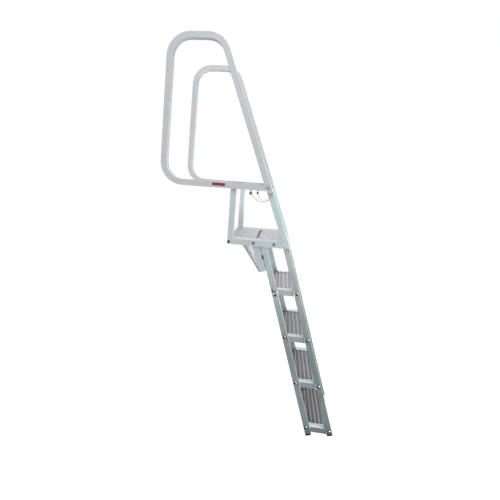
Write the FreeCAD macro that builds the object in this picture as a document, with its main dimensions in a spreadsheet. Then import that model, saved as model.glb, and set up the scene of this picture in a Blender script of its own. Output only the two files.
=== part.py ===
# Dock ladder: two D-shaped handrail loops on the deck carry a swinging frame with a
# two-tread platform and a four-step ladder below it.
# Frame: X from the dock edge out over the water, Y from the near side to the far side,
# Z up from the deck.  The origin is on the underside of the near loop's deck leg.
import FreeCAD, Part
import os
import re
import math
import Sketcher

doc = FreeCAD.newDocument("dock_ladder")
sheet = doc.addObject("Spreadsheet::Sheet", "Sizes")

# Driving sizes in millimetres and degrees
SIZES = {
    "tube": 38,
    "wall": 3,
    "loop_span": 572,
    "rail_top": 920,
    "deck_reach": 450,
    "front_lean": 0.8,
    "back_lean": 21.2,
    "bend_radius": 126,
    "back_leg_x": 228,
    "side_gap": 6,
    "post_top": 19,
    "platform_drop": 356,
    "ladder_lean": 17.6,
    "ladder_depth": 187,
    "ladder_setback": 8,
    "step_drop": 671,
    "step_pitch": 307,
    "step_wide": 166,
    "step_sink": 5,
    "step_play": 0.3,
    "tread_skin": 4,
    "tread_edge": 22,
    "inner_tail": 24,
    "outer_tail": 4,
    "foot_lid": 12,
    "cap_lid": 6,
    "cap_plug": 16,
    "cap_play": 0.3,
    "bolt_size": 10,
    "bolt_play": 0.5,
    "head_across": 17,
    "head_rise": 7,
    "nut_play": 0.3,
    "platform_gap": 18,
    "gap_setback": 9.8,
    "leg_drop": 165,
    "leg_toe": 14,
    "leg_gap": 3,
    "leg_top_wide": 54,
    "leg_foot_wide": 44,
    "board_thick": 4,
    "board_lean": 35.6,
    "pin_shank": 8,
    "pin_up": 25,
    "left_pin_down": 21,
    "right_pin_down": 43,
    "pin_head": 20,
    "pin_x": 132,
    "pin_play": 0.6,
    "end_tail": 14,
    "wire": 3,
    "eye_outer": 20,
    "deck_bolt_size": 10.5,
    "deck_bolt_inset": 180,
    "deck_bolt_pitch": 220,
    "spare_hole": 12,
    "post_hole_up": 15,
    "stringer_hole_under": 7,
}
for row, (word, size) in enumerate(SIZES.items(), start=1):
    sheet.set(f"A{row}", word)
    sheet.set(f"B{row}", str(size))
    sheet.setAlias(f"B{row}", word)
doc.recompute()

WORDS = re.compile(r"\b(" + "|".join(sorted(SIZES, key=len, reverse=True)) + r")\b")


def cells(formula):
    """The formula with each size word pointing at its cell."""
    return WORDS.sub(lambda found: "Sizes." + found.group(1), str(formula))


def number(formula):
    """What the formula gives with the sheet's present values."""
    result = sheet.evalExpression(cells(formula))
    return float(getattr(result, "Value", result))


def bind(thing, **formulas):
    """Tie properties of one object to formulas of the sheet."""
    for name, formula in formulas.items():
        thing.setExpression(name.replace("__", "."), cells(formula))


def place(thing, x="0", y="0", z="0", lean=None):
    """Tie the place of one object, and its lean about Y, to the sheet."""
    if lean is not None:
        thing.Placement = FreeCAD.Placement(
            FreeCAD.Vector(0, 0, 0), FreeCAD.Rotation(FreeCAD.Vector(0, 1, 0), number(lean))
        )
        bind(thing, Placement__Rotation__Angle=lean)
    bind(thing, Placement__Base__x=x, Placement__Base__y=y, Placement__Base__z=z)
    return thing


def block(name, x, y, z, long_x, long_y, long_z, lean=None):
    """A box from its low corner, leaning about that corner if asked."""
    made = doc.addObject("Part::Box", name)
    bind(made, Length=long_x, Width=long_y, Height=long_z)
    return place(made, x, y, z, lean)


def rod(name, x, y, z, radius, length, axis="y"):
    """A round bar along Y or Z from its start point."""
    made = doc.addObject("Part::Cylinder", name)
    bind(made, Radius=radius, Height=length)
    if axis == "y":
        made.Placement.Rotation = FreeCAD.Rotation(FreeCAD.Vector(1, 0, 0), -90)
    bind(made, Placement__Base__x=x, Placement__Base__y=y, Placement__Base__z=z)
    return made


def minus(name, base, *tools):
    """The base with every tool cut away."""
    cutter = tools[0] if len(tools) == 1 else join(name + "_tools", *tools)
    made = doc.addObject("Part::Cut", name)
    made.Base = base
    made.Tool = cutter
    return made


def join(name, *shapes):
    """The shapes fused into one."""
    made = doc.addObject("Part::MultiFuse", name)
    made.Shapes = list(shapes)
    return made


def outline(body, name, points, plane="XZ_Plane"):
    """A closed sketch of straight lines, each corner held by two formulas."""
    sketch = body.newObject("Sketcher::SketchObject", name)
    base = next(part for part in body.Origin.OriginFeatures if part.Role == plane)
    sketch.AttachmentSupport = [(base, "")]
    sketch.MapMode = "FlatFace"
    spots = [FreeCAD.Vector(number(u), number(v), 0) for u, v in points]
    for index, spot in enumerate(spots):
        after = spots[(index + 1) % len(spots)]
        sketch.addGeometry(Part.LineSegment(spot, after), False)
    for index in range(len(spots)):
        sketch.addConstraint(
            Sketcher.Constraint("Coincident", index, 2, (index + 1) % len(spots), 1)
        )
    for index, (u, v) in enumerate(points):
        for kind, formula in (("DistanceX", u), ("DistanceY", v)):
            held = sketch.addConstraint(
                Sketcher.Constraint(kind, -1, 1, index, 1, number(formula))
            )
            sketch.setExpression(f"Constraints[{held}]", cells(formula))
    return sketch


def prism(body, name, points, depth):
    """Material of the given depth on both sides of the body's XZ plane."""
    pad = body.newObject("PartDesign::Pad", name)
    pad.Profile = outline(body, name + "_sketch", points)
    pad.Midplane = True
    bind(pad, Length=depth)
    return pad


def hollow(body, name, points, depth):
    """A cavity of the given depth about the body's XZ plane."""
    pocket = body.newObject("PartDesign::Pocket", name)
    pocket.Profile = outline(body, name + "_sketch", points)
    pocket.Midplane = True
    bind(pocket, Length=depth)
    return pocket


def disc(body, name, radius, depth, centre=None, plane="XZ_Plane", cut=False, shift="0"):
    """A round pad or pocket about the body's plane, at the pivot unless told otherwise."""
    u, v = centre or (PIVOT_X, PIVOT_Z)
    sketch = body.newObject("Sketcher::SketchObject", name + "_sketch")
    base = next(part for part in body.Origin.OriginFeatures if part.Role == plane)
    sketch.AttachmentSupport = [(base, "")]
    sketch.MapMode = "FlatFace"
    spot = FreeCAD.Vector(number(u), number(v), 0)
    sketch.addGeometry(Part.Circle(spot, FreeCAD.Vector(0, 0, 1), number(radius)), False)
    for kind, formula in (("DistanceX", u), ("DistanceY", v)):
        held = sketch.addConstraint(Sketcher.Constraint(kind, -1, 1, 0, 3, number(formula)))
        sketch.setExpression(f"Constraints[{held}]", cells(formula))
    held = sketch.addConstraint(Sketcher.Constraint("Radius", 0, number(radius)))
    sketch.setExpression(f"Constraints[{held}]", cells(radius))
    made = body.newObject("PartDesign::Pocket" if cut else "PartDesign::Pad", name)
    made.Profile = sketch
    if plane == "XZ_Plane":
        made.Midplane = True
    else:
        made.Reversed = cut
    bind(made, Length=depth)
    return made


SIDES = ("left", "right")
SUBPARTS = {}


def keep(node, thing):
    """Give a finished sub-part the name of its node."""
    thing.Label = node
    SUBPARTS[node] = thing
    return thing


def across(side, offset):
    """Y of a plane that lies offset inboard of this side's loop centre."""
    return f"({offset})" if side == "left" else f"(loop_span - ({offset}))"


def outside_wall(side, middle):
    """Low Y of a hole that passes only the wall on the tube's outboard side."""
    centre = across(side, middle)
    return f"({centre} - tube / 2)" if side == "left" else f"({centre} + tube / 2 - 2 * wall)"


# Planes and lines that several pieces share
INNER = "(tube - 2 * wall)"
FRAME_MID = "(tube + side_gap)"
LADDER_MID = "(2 * tube + side_gap)"
BACK_WIDE = "(tube / cos(back_lean))"
RAIL_UNDER = "(-platform_drop)"
RAIL_OVER = "(tube - platform_drop)"
PIVOT_Z = "(tube / 2)"
PIVOT_X = "(back_leg_x + tube / 2 / cos(back_lean) - tan(back_lean) * tube / 2)"

END_X = f"({PIVOT_X} + end_tail * sin(back_lean))"
END_Z = f"({PIVOT_Z} - end_tail * cos(back_lean))"
STEP_COUNT = 4


def back_line(height, offset="0"):
    """X of the sloping line of the loop's back leg at a height."""
    return f"(back_leg_x + ({offset}) - tan(back_lean) * ({height}))"


def ladder_line(height, offset="0"):
    """X of the ladder's water-side line at a height below the platform."""
    corner = f"(back_leg_x + {BACK_WIDE} + tan(back_lean) * platform_drop - ladder_setback)"
    return f"({corner} - ({offset}) - tan(ladder_lean) * (({height}) + platform_drop))"


# Handrail loops: one bent square tube each, closed with a weld at the back leg
def loop_path(body):
    """The centre line of the bent tube, from the deck leg's end round to the pivot."""
    half = number("tube / 2")
    radius = number("bend_radius")
    lean_front = math.radians(number("front_lean"))
    lean_back = math.radians(number("back_lean"))
    top = number("rail_top") - half
    front_x = -number("deck_reach") + half / math.cos(lean_front)
    back_x = number(PIVOT_X) + math.tan(lean_back) * half
    low_front = FreeCAD.Vector(front_x + math.tan(lean_front) * half, half, 0)
    top_front = FreeCAD.Vector(front_x + math.tan(lean_front) * top, top, 0)
    top_back = FreeCAD.Vector(back_x - math.tan(lean_back) * top, top, 0)
    end = FreeCAD.Vector(number(END_X), number(END_Z), 0)
    start = FreeCAD.Vector(number(back_line("tube")), half, 0)
    corners = [start, low_front, top_front, top_back, end]
    sketch = body.newObject("Sketcher::SketchObject", body.Name + "_path")
    base = next(part for part in body.Origin.OriginFeatures if part.Role == "XZ_Plane")
    sketch.AttachmentSupport = [(base, "")]
    sketch.MapMode = "FlatFace"
    last = start
    for before, corner, after in zip(corners, corners[1:], corners[2:]):
        back = (before - corner).normalize()
        ahead = (after - corner).normalize()
        opening = back.getAngle(ahead)
        reach = radius / math.tan(opening / 2)
        bisector = (back + ahead).normalize()
        centre = corner + bisector * (radius / math.sin(opening / 2))
        enter = corner + back * reach
        leave = corner + ahead * reach
        middle = centre - bisector * radius
        sketch.addGeometry(Part.LineSegment(last, enter), False)
        sketch.addGeometry(Part.Arc(enter, middle, leave), False)
        last = leave
    sketch.addGeometry(Part.LineSegment(last, end), False)
    return sketch


def loop_section(body):
    """The tube's square section, outer and inner, standing at the path's start."""
    sketch = body.newObject("Sketcher::SketchObject", body.Name + "_section")
    base = next(part for part in body.Origin.OriginFeatures if part.Role == "YZ_Plane")
    sketch.AttachmentSupport = [(base, "")]
    sketch.MapMode = "FlatFace"
    sketch.AttachmentOffset.Base = FreeCAD.Vector(0, 0, 0)
    bind(sketch, AttachmentOffset__Base__y=PIVOT_Z, AttachmentOffset__Base__z=back_line("tube"))
    for width in ("tube", INNER):
        half = number(width) / 2
        first = sketch.GeometryCount
        corners = [(-half, -half), (half, -half), (half, half), (-half, half)]
        for index, (u, v) in enumerate(corners):
            after = corners[(index + 1) % 4]
            sketch.addGeometry(
                Part.LineSegment(FreeCAD.Vector(u, v, 0), FreeCAD.Vector(*after, 0)), False
            )
        for index in range(4):
            sketch.addConstraint(
                Sketcher.Constraint("Coincident", first + index, 2, first + (index + 1) % 4, 1)
            )
    return sketch


def handrail_loop(side):
    body = doc.addObject("PartDesign::Body", f"{side}_loop_body")
    path = loop_path(body)
    section = loop_section(body)
    doc.recompute()
    pipe = body.newObject("PartDesign::AdditivePipe", f"{side}_loop_pipe")
    pipe.Profile = section
    pipe.Spine = (path, [f"Edge{index + 1}" for index in range(path.GeometryCount)])
    doc.recompute()
    # the coped end that closes the deck leg against the sloping leg
    prism(
        body,
        f"{side}_loop_cope",
        [(back_line("tube"), "0"), (back_line("0"), "0"), (back_line("tube"), "tube")],
        "tube",
    )
    # the round end below the pivot
    disc(body, f"{side}_loop_eye", "tube / 2", "tube", (END_X, END_Z))
    disc(body, f"{side}_loop_hole", "bolt_size / 2 + bolt_play / 2", "2 * tube", cut=True)
    for index in range(2):
        disc(
            body,
            f"{side}_deck_hole_{index + 1}",
            "deck_bolt_size / 2",
            "tube",
            (f"(deck_bolt_inset - deck_reach + {index} * deck_bolt_pitch)", "0"),
            "XY_Plane",
            cut=True,
        )
    disc(
        body,
        f"{side}_pin_hole",
        "pin_shank / 2 + pin_play / 2",
        "2 * wall",
        ("pin_x", "0"),
        "XY_Plane",
        cut=True,
    )
    bind(body, Placement__Base__y=across(side, "0"))
    return keep(f"{side}_handrail_loop", body)


# Pivot bolts: head outside, nut inside, through the back leg and the strut's eye
def pivot_bolt(side):
    shank_long = "(2 * tube + side_gap + nut_play)"
    start = across(side, "-tube / 2")
    if side == "right":
        start = f"({start} - {shank_long})"
    outside = f"({across(side, '-tube / 2')} - {'head_rise' if side == 'left' else '0'})"
    inside_face = across(side, "tube / 2 + side_gap + tube + nut_play")
    inside = f"({inside_face} - {'0' if side == 'left' else 'head_rise'})"
    shank = rod(f"{side}_pivot_shank", PIVOT_X, start, PIVOT_Z, "bolt_size / 2", shank_long)
    ends = []
    for word, low in (("head", outside), ("nut", inside)):
        hexagon = doc.addObject("Part::Prism", f"{side}_pivot_{word}")
        hexagon.Polygon = 6
        hexagon.Placement.Rotation = FreeCAD.Rotation(FreeCAD.Vector(1, 0, 0), -90)
        bind(
            hexagon,
            Circumradius="head_across / 2 / cos(30)",
            Height="head_rise",
            Placement__Base__x=PIVOT_X,
            Placement__Base__y=low,
            Placement__Base__z=PIVOT_Z,
        )
        ends.append(hexagon)
    return keep(f"{side}_pivot_bolt", join(f"{side}_pivot_bolt", shank, *ends))


# Swinging frame: post, platform rail and strut on each side
def frame_post(side):
    low_y = f"({across(side, FRAME_MID)} - tube / 2)"
    rise = "(platform_drop + post_top)"
    outer = block(f"{side}_post_outer", "0", low_y, RAIL_UNDER, "tube", "tube", rise)
    inner = block(
        f"{side}_post_inner", "wall", f"({low_y} + wall)", RAIL_UNDER, INNER, INNER, rise
    )
    spare = rod(
        f"{side}_post_spare",
        "(wall + spare_hole / 2)",
        outside_wall(side, FRAME_MID),
        f"({RAIL_UNDER} + post_hole_up)",
        "spare_hole / 2",
        "2 * wall",
    )
    return keep(f"{side}_post", minus(f"{side}_post", outer, inner, spare))


def post_cap(side):
    low_y = f"({across(side, FRAME_MID)} - tube / 2)"
    plug = block(
        f"{side}_post_plug",
        "wall + cap_play",
        f"({low_y} + wall + cap_play)",
        "post_top - cap_plug",
        f"({INNER} - 2 * cap_play)",
        f"({INNER} - 2 * cap_play)",
        "cap_plug",
    )
    lid = block(f"{side}_post_lid", "0", low_y, "post_top", "tube", "tube", "cap_lid")
    return keep(f"{side}_post_cap", join(f"{side}_post_cap", plug, lid))


def platform_rail(side):
    body = doc.addObject("PartDesign::Body", f"{side}_rail_body")
    over_end = back_line(RAIL_OVER)
    under_end = back_line(RAIL_UNDER, BACK_WIDE)
    points = [
        ("tube", RAIL_UNDER),
        (under_end, RAIL_UNDER),
        (over_end, RAIL_OVER),
        ("tube", RAIL_OVER),
    ]
    prism(body, f"{side}_rail_outer", points, "tube")
    low = f"({RAIL_UNDER} + wall)"
    high = f"({RAIL_OVER} - wall)"
    room = [
        ("tube - 1", low),
        (f"{under_end} + tube", low),
        (f"{under_end} + tube", high),
        ("tube - 1", high),
    ]
    hollow(body, f"{side}_rail_hollow", room, INNER)
    bind(body, Placement__Base__y=across(side, FRAME_MID))
    return keep(f"{side}_platform_rail", body)


def strut(side):
    body = doc.addObject("PartDesign::Body", f"{side}_strut_body")
    half_x = "(tube / 2 * cos(back_lean))"
    half_z = "(tube / 2 * sin(back_lean))"
    points = [
        (back_line(RAIL_OVER), RAIL_OVER),
        (back_line(RAIL_UNDER, BACK_WIDE), RAIL_UNDER),
        (f"({PIVOT_X} + {half_x})", f"({PIVOT_Z} + {half_z})"),
        (f"({PIVOT_X} - {half_x})", f"({PIVOT_Z} - {half_z})"),
    ]
    prism(body, f"{side}_strut_outer", points, "tube")
    disc(body, f"{side}_strut_eye", "tube / 2", "tube")
    skin = "(wall / cos(back_lean))"
    low = f"({RAIL_UNDER} - tube)"
    high = f"({PIVOT_Z} - tube)"
    room = [
        (back_line(low, skin), low),
        (back_line(low, f"({BACK_WIDE} - {skin})"), low),
        (back_line(high, f"({BACK_WIDE} - {skin})"), high),
        (back_line(high, skin), high),
    ]
    hollow(body, f"{side}_strut_hollow", room, INNER)
    disc(body, f"{side}_strut_hole", "bolt_size / 2 + bolt_play / 2", "2 * tube", cut=True)
    bind(body, Placement__Base__y=across(side, FRAME_MID))
    return keep(f"{side}_strut", body)


# Ladder: on each side a level top tube inside the platform rail and two leaning stringers
def top_tube(side):
    body = doc.addObject("PartDesign::Body", f"{side}_top_tube_body")
    over_end = f"({back_line(RAIL_OVER, BACK_WIDE)} - ladder_setback)"
    under_end = ladder_line(RAIL_UNDER)
    points = [("0", RAIL_UNDER), (under_end, RAIL_UNDER), (over_end, RAIL_OVER), ("0", RAIL_OVER)]
    prism(body, f"{side}_top_tube_outer", points, "tube")
    low = f"({RAIL_UNDER} + wall)"
    high = f"({RAIL_OVER} - wall)"
    past = f"({under_end} + tube)"
    room = [("-1", low), (past, low), (past, high), ("-1", high)]
    hollow(body, f"{side}_top_tube_hollow", room, INNER)
    bind(body, Placement__Base__y=across(side, LADDER_MID))
    return keep(f"{side}_top_tube", body)


STRINGERS = {"outer": "(tube / cos(ladder_lean))", "inner": "ladder_depth"}


def foot_z(which):
    """Height of the dock-side corner of a stringer's lower end."""
    return f"(-(step_drop + 3 * step_pitch + {which}_tail))"


def stringer(side, which):
    name = f"{side}_{which}_stringer"
    foot = foot_z(which)
    foot_x = ladder_line(foot, STRINGERS[which])
    low_y = f"({across(side, LADDER_MID)} - tube / 2)"
    length = f"(({RAIL_UNDER} - {foot}) / cos(ladder_lean) + tube)"
    outer = block(name + "_tube", foot_x, low_y, foot, "tube", "tube", length, "-ladder_lean")
    inner = block(
        name + "_room",
        f"({foot_x} + wall * cos(ladder_lean))",
        f"({low_y} + wall)",
        f"({foot} + wall * sin(ladder_lean))",
        INNER,
        INNER,
        length,
        "-ladder_lean",
    )
    over = block(
        name + "_over",
        ladder_line(RAIL_UNDER, "(ladder_depth + tube)"),
        f"({low_y} - 1)",
        RAIL_UNDER,
        "(ladder_depth + 2 * tube)",
        "tube + 2",
        "2 * tube",
    )
    cuts = [inner, over]
    if which == "inner":
        hole_z = "(-(step_drop + stringer_hole_under))"
        cuts.append(
            rod(
                name + "_spare",
                ladder_line(hole_z, "(ladder_depth - tube / 2 / cos(ladder_lean))"),
                outside_wall(side, LADDER_MID),
                hole_z,
                "spare_hole / 2",
                "2 * wall",
            )
        )
    return keep(name, minus(name, outer, *cuts))


def foot_cap(side, which):
    name = f"{side}_{which}_foot_cap"
    foot = foot_z(which)
    foot_x = ladder_line(foot, STRINGERS[which])
    low_y = f"({across(side, LADDER_MID)} - tube / 2)"
    lid = block(
        name + "_lid",
        f"({foot_x} + foot_lid * sin(ladder_lean))",
        low_y,
        f"({foot} - foot_lid * cos(ladder_lean))",
        "tube",
        "tube",
        "foot_lid",
        "-ladder_lean",
    )
    inset = "(wall + cap_play)"
    plug = block(
        name + "_plug",
        f"({foot_x} + {inset} * cos(ladder_lean))",
        f"({low_y} + {inset})",
        f"({foot} + {inset} * sin(ladder_lean))",
        f"({INNER} - 2 * cap_play)",
        f"({INNER} - 2 * cap_play)",
        "cap_plug",
        "-ladder_lean",
    )
    return keep(name, join(name, lid, plug))


# Rungs: short level tubes welded between the two stringers of each side, and the steps
# that are bolted between the two sides at their height
def step_under(number_from_top):
    return f"(-(step_drop + {number_from_top} * step_pitch))"


def rungs(side):
    made = []
    dock = "(ladder_depth - tube / cos(ladder_lean))"
    water = "(tube / cos(ladder_lean))"
    for index in range(STEP_COUNT):
        name = f"{side}_rung_{index + 1}"
        under = step_under(index)
        over = f"({under} + tube)"
        low = f"({under} + wall)"
        high = f"({over} - wall)"
        body = doc.addObject("PartDesign::Body", name + "_body")
        points = [
            (ladder_line(under, dock), under),
            (ladder_line(under, water), under),
            (ladder_line(over, water), over),
            (ladder_line(over, dock), over),
        ]
        prism(body, name + "_outer", points, "tube")
        room = [
            (ladder_line(low, "ladder_depth"), low),
            (ladder_line(low, "0"), low),
            (ladder_line(high, "0"), high),
            (ladder_line(high, "ladder_depth"), high),
        ]
        hollow(body, name + "_hollow", room, INNER)
        bind(body, Placement__Base__y=across(side, LADDER_MID))
        made.append(body)
    group = doc.addObject("Part::Compound", f"{side}_rungs")
    group.Links = made
    return keep(f"{side}_rungs", group)


def step(index):
    """A level channel, its top a little below the rungs' tops."""
    name = f"step_{index + 1}"
    body = doc.addObject("PartDesign::Body", name + "_body")
    under = step_under(index)
    over = f"({under} + tube - step_sink)"
    middle = ladder_line(f"({under} + tube / 2)", "ladder_depth / 2")
    long = "(loop_span - 2 * (tube * 5 / 2 + side_gap + step_play))"
    points = [
        (f"({middle} - step_wide / 2)", under),
        (f"({middle} + step_wide / 2)", under),
        (f"({middle} + step_wide / 2)", over),
        (f"({middle} - step_wide / 2)", over),
    ]
    prism(body, name + "_outer", points, long)
    low = f"({under} - 1)"
    high = f"({over} - tread_skin)"
    reach = "(step_wide / 2 - tread_skin)"
    room = [
        (f"({middle} - {reach})", low),
        (f"({middle} + {reach})", low),
        (f"({middle} + {reach})", high),
        (f"({middle} - {reach})", high),
    ]
    hollow(body, name + "_hollow", room, f"(2 * {long})")
    bind(body, Placement__Base__y="loop_span / 2")
    return keep(name, body)


# Platform: two flat treads with turned-down edges, bolted between the top tubes
def platform_tread(name, low_x, high_x):
    low_y = "(tube * 5 / 2 + side_gap + step_play)"
    wide = f"(loop_span - 2 * {low_y})"
    skin_z = f"({RAIL_OVER} - tread_skin)"
    skin = block(name + "_skin", low_x, low_y, skin_z, f"({high_x} - {low_x})", wide, "tread_skin")
    edges = [
        block(
            name + f"_edge_{end}",
            x,
            low_y,
            f"({skin_z} - tread_edge)",
            "tread_skin",
            wide,
            "tread_edge",
        )
        for end, x in (("dock", low_x), ("water", f"({high_x} - tread_skin)"))
    ]
    return keep(name, join(name, skin, *edges))


# Bracket under the platform: a tapered leg on each side and a sloping board between
def bracket_leg(side):
    body = doc.addObject("PartDesign::Body", f"{side}_bracket_body")
    top = RAIL_UNDER
    foot = f"({RAIL_UNDER} - leg_drop)"
    toe = f"({foot} - leg_toe)"
    near_line = "(ladder_depth + leg_gap)"
    points = [
        (ladder_line(top, f"({near_line} + leg_top_wide)"), top),
        (ladder_line(toe, f"({near_line} + leg_foot_wide)"), toe),
        (ladder_line(foot, near_line), foot),
        (ladder_line(top, near_line), top),
    ]
    prism(body, f"{side}_bracket_outer", points, "tube")
    skin = "(wall / cos(ladder_lean))"
    room_top = f"({top} + 1)"
    room_foot = f"({foot} + wall)"
    room = [
        (ladder_line(room_top, f"({near_line} + leg_top_wide - {skin})"), room_top),
        (ladder_line(room_foot, f"({near_line} + leg_foot_wide - {skin})"), room_foot),
        (ladder_line(room_foot, f"({near_line} + {skin})"), room_foot),
        (ladder_line(room_top, f"({near_line} + {skin})"), room_top),
    ]
    hollow(body, f"{side}_bracket_hollow", room, INNER)
    bind(body, Placement__Base__y=across(side, LADDER_MID))
    return keep(f"{side}_bracket_leg", body)


def bracket_board():
    body = doc.addObject("PartDesign::Body", "bracket_board_body")
    top = RAIL_UNDER
    toe = f"({RAIL_UNDER} - leg_drop - leg_toe)"
    toe_x = ladder_line(toe, "(ladder_depth + leg_gap + leg_foot_wide)")
    thick_x = "(board_thick / cos(board_lean))"
    top_x = f"({toe_x} - tan(board_lean) * ({top} - {toe}))"
    points = [
        (f"({toe_x} - {thick_x})", toe),
        (toe_x, toe),
        (top_x, top),
        (f"({top_x} - {thick_x})", top),
    ]
    prism(body, "bracket_board_pad", points, "(loop_span - 2 * (tube * 3 / 2 + side_gap))")
    bind(body, Placement__Base__y="loop_span / 2")
    return keep("bracket_board", body)


# Lock pins parked in the deck legs, on wire lanyards that hang from the pivots
def lock_pin(side):
    name = f"{side}_lock_pin"
    down = f"{side}_pin_down"
    centre_y = across(side, "0")
    shank = rod(name + "_shank", "pin_x", centre_y, f"(-{down})", "pin_shank / 2", f"({down} + pin_up)", "z")
    ball = doc.addObject("Part::Sphere", name + "_ball")
    bind(
        ball,
        Radius="pin_head / 2",
        Placement__Base__x="pin_x",
        Placement__Base__y=centre_y,
        Placement__Base__z=f"(-{down})",
    )
    return keep(name, join(name, shank, ball))


def lanyard_eye(side):
    name = f"{side}_lanyard_eye"
    middle = across(side, "(tube / 2 + side_gap / 2)")
    low = f"({middle} - wire / 2)"
    ring = rod(name + "_ring", PIVOT_X, low, PIVOT_Z, "eye_outer / 2", "wire")
    bore = rod(name + "_bore", PIVOT_X, low, PIVOT_Z, "bolt_size / 2 + bolt_play / 2", "wire")
    return keep(name, minus(name, ring, bore))


# Each wire's route, chosen by hand: X, Z and the distance inboard of the loop
LANYARD_ROUTES = {
    "left": [
        (250, 15, 22),
        (259, -6, 22),
        (256, -28, 20),
        (244, -49, 17.5),
        (227, -65, 15.5),
        (206, -73, 13),
        (183, -68, 10),
        (163, -54, 7),
        (147, -38, 3.5),
        (136, -26, 1),
    ],
    "right": [
        (250, 15, 22),
        (259, -8, 22),
        (259, -35, 20),
        (251, -62, 17.5),
        (235, -86, 15.5),
        (213, -102, 13),
        (187, -105, 10),
        (163, -95, 7),
        (145, -76, 3.5),
        (133.5, -49, 1),
    ],
}


def wire_path(points):
    """Straight runs joined by tangent arcs as large as the runs allow."""
    edges = []
    radii = []
    last = points[0]
    for before, corner, after in zip(points, points[1:], points[2:]):
        back = before - corner
        ahead = after - corner
        turn = math.pi - back.getAngle(ahead)
        shorter = min(back.Length, ahead.Length)
        radius = 0.45 * shorter / math.tan(turn / 2)
        reach = 0.45 * shorter
        enter = corner + back.normalize() * reach
        leave = corner + ahead.normalize() * reach
        bisector = (back + ahead).normalize()
        centre = corner + bisector * math.hypot(radius, reach)
        middle = centre - bisector * radius
        edges.append(Part.LineSegment(last, enter).toShape())
        edges.append(Part.Arc(enter, middle, leave).toShape())
        radii.append(round(radius, 1))
        last = leave
    edges.append(Part.LineSegment(last, points[-1]).toShape())
    return Part.Wire(edges), radii


def lanyard(side):
    points = []
    for x, z, inboard in LANYARD_ROUTES[side]:
        points.append(FreeCAD.Vector(x, number(across(side, inboard)), z))
    path, radii = wire_path(points)
    radius = number("wire") / 2
    section = Part.Wire([Part.makeCircle(radius, points[0], points[1] - points[0])])
    tube = path.makePipeShell([section], True, False)
    expected = math.pi * radius**2 * path.Length
    print(f"{side} lanyard {path.Length:.1f} long, radii {radii}")
    print(f"{side} lanyard volume {tube.Volume:.1f} against {expected:.1f}")
    made = doc.addObject("Part::Feature", f"{side}_lanyard")
    made.Shape = tube
    return keep(f"{side}_lanyard", made)


for side in SIDES:
    handrail_loop(side)
    pivot_bolt(side)
    frame_post(side)
    post_cap(side)
    platform_rail(side)
    strut(side)
    top_tube(side)
    for which in STRINGERS:
        stringer(side, which)
        foot_cap(side, which)
    bracket_leg(side)
    rungs(side)
    lock_pin(side)
    lanyard_eye(side)
    lanyard(side)
for index in range(STEP_COUNT):
    step(index)
GAP_HALF = "platform_gap / 2"
GAP_MID = ladder_line(RAIL_OVER, "(ladder_depth + gap_setback)")
platform_tread("dockside_tread", "0", f"({GAP_MID} - {GAP_HALF})")
platform_tread("waterside_tread", f"({GAP_MID} + {GAP_HALF})", back_line(RAIL_OVER))
bracket_board()

doc.recompute()
failed = [
    thing.Name for thing in doc.Objects if {"Invalid", "Error"} & set(thing.State)
]
for node, thing in SUBPARTS.items():
    if thing.Shape.isNull() or not thing.Shape.isValid():
        failed.append(node)
if failed:
    raise RuntimeError("these features failed: " + ", ".join(failed))
os.makedirs("parts", exist_ok=True)
for node, thing in SUBPARTS.items():
    thing.Shape.exportStep(f"parts/{node}.step")
print(len(SUBPARTS), "sub-parts written")
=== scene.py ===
import math
import bmesh
import bpy
from mathutils import Matrix, Vector


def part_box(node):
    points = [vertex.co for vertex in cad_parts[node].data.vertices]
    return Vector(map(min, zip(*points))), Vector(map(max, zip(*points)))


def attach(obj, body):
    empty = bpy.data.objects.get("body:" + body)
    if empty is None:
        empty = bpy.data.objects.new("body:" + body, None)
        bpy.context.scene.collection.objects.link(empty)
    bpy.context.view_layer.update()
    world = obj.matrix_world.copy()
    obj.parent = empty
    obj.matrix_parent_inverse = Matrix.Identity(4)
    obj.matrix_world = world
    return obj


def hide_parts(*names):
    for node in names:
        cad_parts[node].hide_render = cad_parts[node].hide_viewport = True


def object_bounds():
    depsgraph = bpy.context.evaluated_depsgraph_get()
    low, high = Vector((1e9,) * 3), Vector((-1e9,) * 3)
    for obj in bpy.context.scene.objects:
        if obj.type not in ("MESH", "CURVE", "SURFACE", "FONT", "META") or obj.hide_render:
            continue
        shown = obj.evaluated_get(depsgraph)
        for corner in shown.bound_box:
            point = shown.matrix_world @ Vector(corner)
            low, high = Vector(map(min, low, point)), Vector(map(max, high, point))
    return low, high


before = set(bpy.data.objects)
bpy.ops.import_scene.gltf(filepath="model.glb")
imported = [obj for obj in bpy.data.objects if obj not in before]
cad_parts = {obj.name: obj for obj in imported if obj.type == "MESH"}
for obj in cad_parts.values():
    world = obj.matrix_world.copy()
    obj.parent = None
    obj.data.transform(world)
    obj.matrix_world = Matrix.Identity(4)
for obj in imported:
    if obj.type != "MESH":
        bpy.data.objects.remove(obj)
CAD_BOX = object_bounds()

# Camera: the photograph's own viewing angle, a wide lens close to the near side of the
# ladder at about deck height, turned a little to the left and rolled a little.
LENS_MM = 22.876
SENSOR_MM = 36.0
SHIFT = (0.01003, -0.07853)
CAMERA_PLACE = Vector((0.3207, -1.9570, 0.0764))
YAW = 0.1103
PITCH = -0.1054
ROLL = -0.0711

camera_data = bpy.data.cameras.new("camera")
camera_data.lens = LENS_MM
camera_data.sensor_width = SENSOR_MM
camera_data.shift_x, camera_data.shift_y = SHIFT
camera = bpy.data.objects.new("camera", camera_data)
bpy.context.scene.collection.objects.link(camera)
camera.matrix_world = (
    Matrix.Translation(CAMERA_PLACE)
    @ Matrix.Rotation(YAW, 4, "Z")
    @ Matrix.Rotation(PITCH, 4, "X")
    @ Matrix.Rotation(ROLL, 4, "Y")
    @ Matrix.Rotation(math.pi / 2, 4, "X")
)
bpy.context.scene.camera = camera
bpy.context.scene.view_settings.view_transform = "Standard"


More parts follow.
